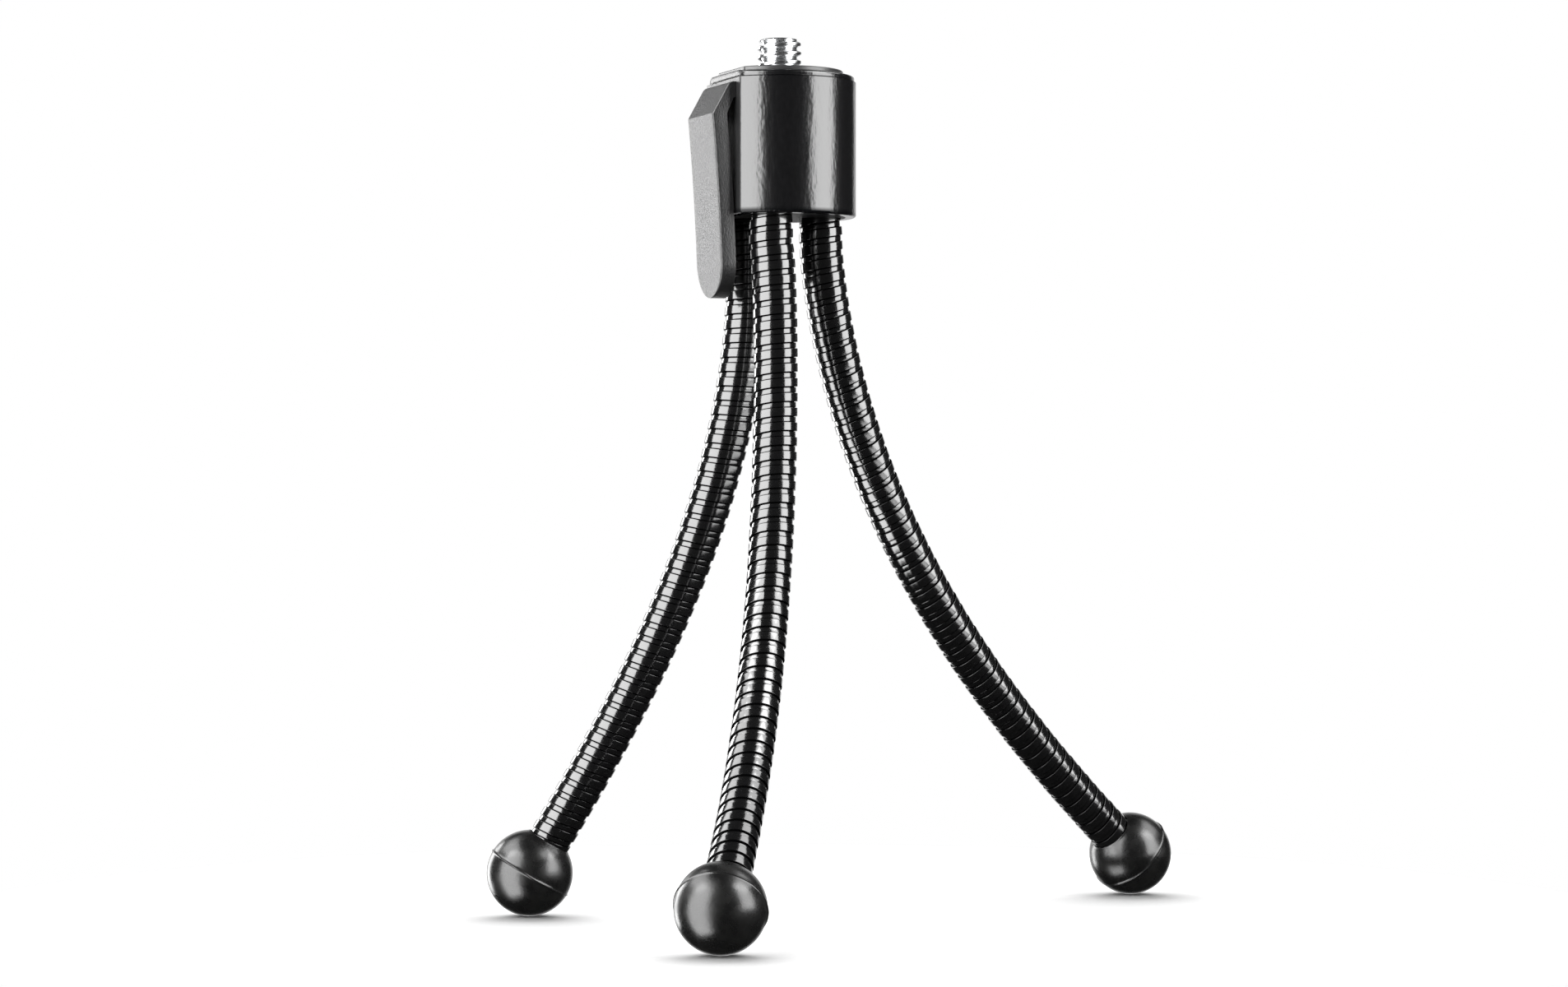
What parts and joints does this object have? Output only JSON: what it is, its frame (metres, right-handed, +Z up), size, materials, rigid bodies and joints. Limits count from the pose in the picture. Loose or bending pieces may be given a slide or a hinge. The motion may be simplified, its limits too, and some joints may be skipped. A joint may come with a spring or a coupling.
{
  "type": "flexible leg tripod",
  "caption": "Pocket tripod with three bendable wound metal legs on ball feet, a round head with a camera screw, and a spring clip on its side.",
  "frame": {"origin": "on the camera screw axis, at the top face of the pad that the camera seats on", "axes": "+Z up along the camera screw; -Y towards the viewer of the front view; the clip faces -X, turned 21.4 degrees towards -Y"},
  "size_m": [0.1014, 0.0974, 0.1257],
  "materials": {
    "head_plastic": "semi-gloss with a fine moulded grain",
    "pad_rubber": "satin",
    "chrome_screw": "polished",
    "base_plastic": "matte",
    "clip_plastic": "matte with a fine grain",
    "black_winding": "gloss black",
    "foot_rubber": "satin"
  },
  "bodies": {
    "head": {"head_shell": "head_plastic", "head_lid": "head_plastic", "camera_pad": "pad_rubber", "camera_screw": "chrome_screw", "base_plate": "base_plastic", "right_stub": "black_winding", "left_stub": "black_winding", "front_stub": "black_winding"},
    "clip": {"clip": "clip_plastic"},
    "right_part_1": {"right_link_1": "black_winding"},
    "right_part_2": {"right_link_2": "black_winding"},
    "right_part_3": {"right_link_3": "black_winding"},
    "right_part_4": {"right_link_4": "black_winding"},
    "right_part_5": {"right_link_5": "black_winding"},
    "right_part_6": {"right_link_6": "black_winding"},
    "right_part_7": {"right_link_7": "black_winding", "right_foot": "foot_rubber"},
    "left_part_1": {"left_link_1": "black_winding"},
    "left_part_2": {"left_link_2": "black_winding"},
    "left_part_3": {"left_link_3": "black_winding"},
    "left_part_4": {"left_link_4": "black_winding"},
    "left_part_5": {"left_link_5": "black_winding"},
    "left_part_6": {"left_link_6": "black_winding"},
    "left_part_7": {"left_link_7": "black_winding", "left_foot": "foot_rubber"},
    "front_part_1": {"front_link_1": "black_winding"},
    "front_part_2": {"front_link_2": "black_winding"},
    "front_part_3": {"front_link_3": "black_winding"},
    "front_part_4": {"front_link_4": "black_winding"},
    "front_part_5": {"front_link_5": "black_winding"},
    "front_part_6": {"front_link_6": "black_winding"},
    "front_part_7": {"front_link_7": "black_winding", "front_foot": "foot_rubber"}
  },
  "joints": [
    {"name": "clip_flex", "type": "hinge", "parent": "head", "child": "clip", "pos_m": [-0.00829, -0.00325, -0.0033], "axis": [-0.3649, 0.9311, 0], "range_deg": [0, 8], "stiffness_Nm_per_rad": 0.3},
    {"name": "right_bend_1", "type": "hinge", "parent": "head", "child": "right_part_1", "pos_m": [0.00586, 0.00202, -0.02771], "axis": [0.5807, -0.8141, 0], "range_deg": [-17, 3]},
    {"name": "right_sway_2", "type": "hinge", "parent": "right_part_1", "child": "right_part_2", "pos_m": [0.00837, 0.00381, -0.04223], "axis": [0.7806, 0.5568, 0.284], "range_deg": [-10, 10]},
    {"name": "right_bend_3", "type": "hinge", "parent": "right_part_2", "child": "right_part_3", "pos_m": [0.0127, 0.0069, -0.05608], "axis": [0.5807, -0.8141, 0], "range_deg": [-13, 7]},
    {"name": "right_sway_4", "type": "hinge", "parent": "right_part_3", "child": "right_part_4", "pos_m": [0.01856, 0.01108, -0.06906], "axis": [0.6881, 0.4908, 0.5344], "range_deg": [-10, 10]},
    {"name": "right_bend_5", "type": "hinge", "parent": "right_part_4", "child": "right_part_5", "pos_m": [0.02559, 0.01609, -0.08113], "axis": [0.5807, -0.8141, 0], "range_deg": [-10.4, 9.6]},
    {"name": "right_sway_6", "type": "hinge", "parent": "right_part_5", "child": "right_part_6", "pos_m": [0.03352, 0.02175, -0.09233], "axis": [0.5944, 0.424, 0.6833], "range_deg": [-10, 10]},
    {"name": "right_bend_7", "type": "hinge", "parent": "right_part_6", "child": "right_part_7", "pos_m": [0.04209, 0.02786, -0.10278], "axis": [0.5807, -0.8141, 0], "range_deg": [-8.4, 11.6]},
    {"name": "left_bend_1", "type": "hinge", "parent": "head", "child": "left_part_1", "pos_m": [-0.00468, 0.00407, -0.0227], "axis": [-0.0523, 0.9986, 0], "range_deg": [-4.5, 10.5]},
    {"name": "left_sway_2", "type": "hinge", "parent": "left_part_1", "child": "left_part_2", "pos_m": [-0.00507, 0.00405, -0.03754], "axis": [-0.994, -0.0521, 0.0958], "range_deg": [-10, 10]},
    {"name": "left_bend_3", "type": "hinge", "parent": "left_part_2", "child": "left_part_3", "pos_m": [-0.00751, 0.00392, -0.05218], "axis": [-0.0523, 0.9986, 0], "range_deg": [-9.5, 8.5]},
    {"name": "left_sway_4", "type": "hinge", "parent": "left_part_3", "child": "left_part_4", "pos_m": [-0.0116, 0.0037, -0.06644], "axis": [-0.9451, -0.0495, 0.3231], "range_deg": [-10, 10]},
    {"name": "left_bend_5", "type": "hinge", "parent": "left_part_4", "child": "left_part_5", "pos_m": [-0.01708, 0.00342, -0.08023], "axis": [-0.0523, 0.9986, 0], "range_deg": [-7.3, 10.7]},
    {"name": "left_sway_6", "type": "hinge", "parent": "left_part_5", "child": "left_part_6", "pos_m": [-0.02357, 0.00308, -0.09357], "axis": [-0.8846, -0.0464, 0.4641], "range_deg": [-10, 10]},
    {"name": "left_bend_7", "type": "hinge", "parent": "left_part_6", "child": "left_part_7", "pos_m": [-0.03083, 0.0027, -0.10651], "axis": [-0.0523, 0.9986, 0], "range_deg": [-4.9, 13.1]},
    {"name": "front_bend_1", "type": "hinge", "parent": "head", "child": "front_part_1", "pos_m": [-0.00118, -0.00609, -0.02513], "axis": [-0.989, 0.1478, 0], "range_deg": [-6, 14]},
    {"name": "front_sway_2", "type": "hinge", "parent": "front_part_1", "child": "front_part_2", "pos_m": [-0.00122, -0.00634, -0.03997], "axis": [-0.1475, -0.9869, 0.0654], "range_deg": [-10, 10]},
    {"name": "front_bend_3", "type": "hinge", "parent": "front_part_2", "child": "front_part_3", "pos_m": [-0.00147, -0.008, -0.05472], "axis": [-0.989, 0.1478, 0], "range_deg": [-13, 7]},
    {"name": "front_sway_4", "type": "hinge", "parent": "front_part_3", "child": "front_part_4", "pos_m": [-0.00202, -0.01168, -0.06908], "axis": [-0.1395, -0.9337, 0.3297], "range_deg": [-10, 10]},
    {"name": "front_bend_5", "type": "hinge", "parent": "front_part_4", "child": "front_part_5", "pos_m": [-0.00291, -0.01765, -0.08264], "axis": [-0.989, 0.1478, 0], "range_deg": [-15.5, 4.5]},
    {"name": "front_sway_6", "type": "hinge", "parent": "front_part_5", "child": "front_part_6", "pos_m": [-0.00415, -0.02596, -0.09487], "axis": [-0.1136, -0.7604, 0.6394], "range_deg": [-10, 10]},
    {"name": "front_bend_7", "type": "hinge", "parent": "front_part_6", "child": "front_part_7", "pos_m": [-0.0057, -0.03634, -0.10536], "axis": [-0.989, 0.1478, 0], "range_deg": [-14, 6]}
  ]
}
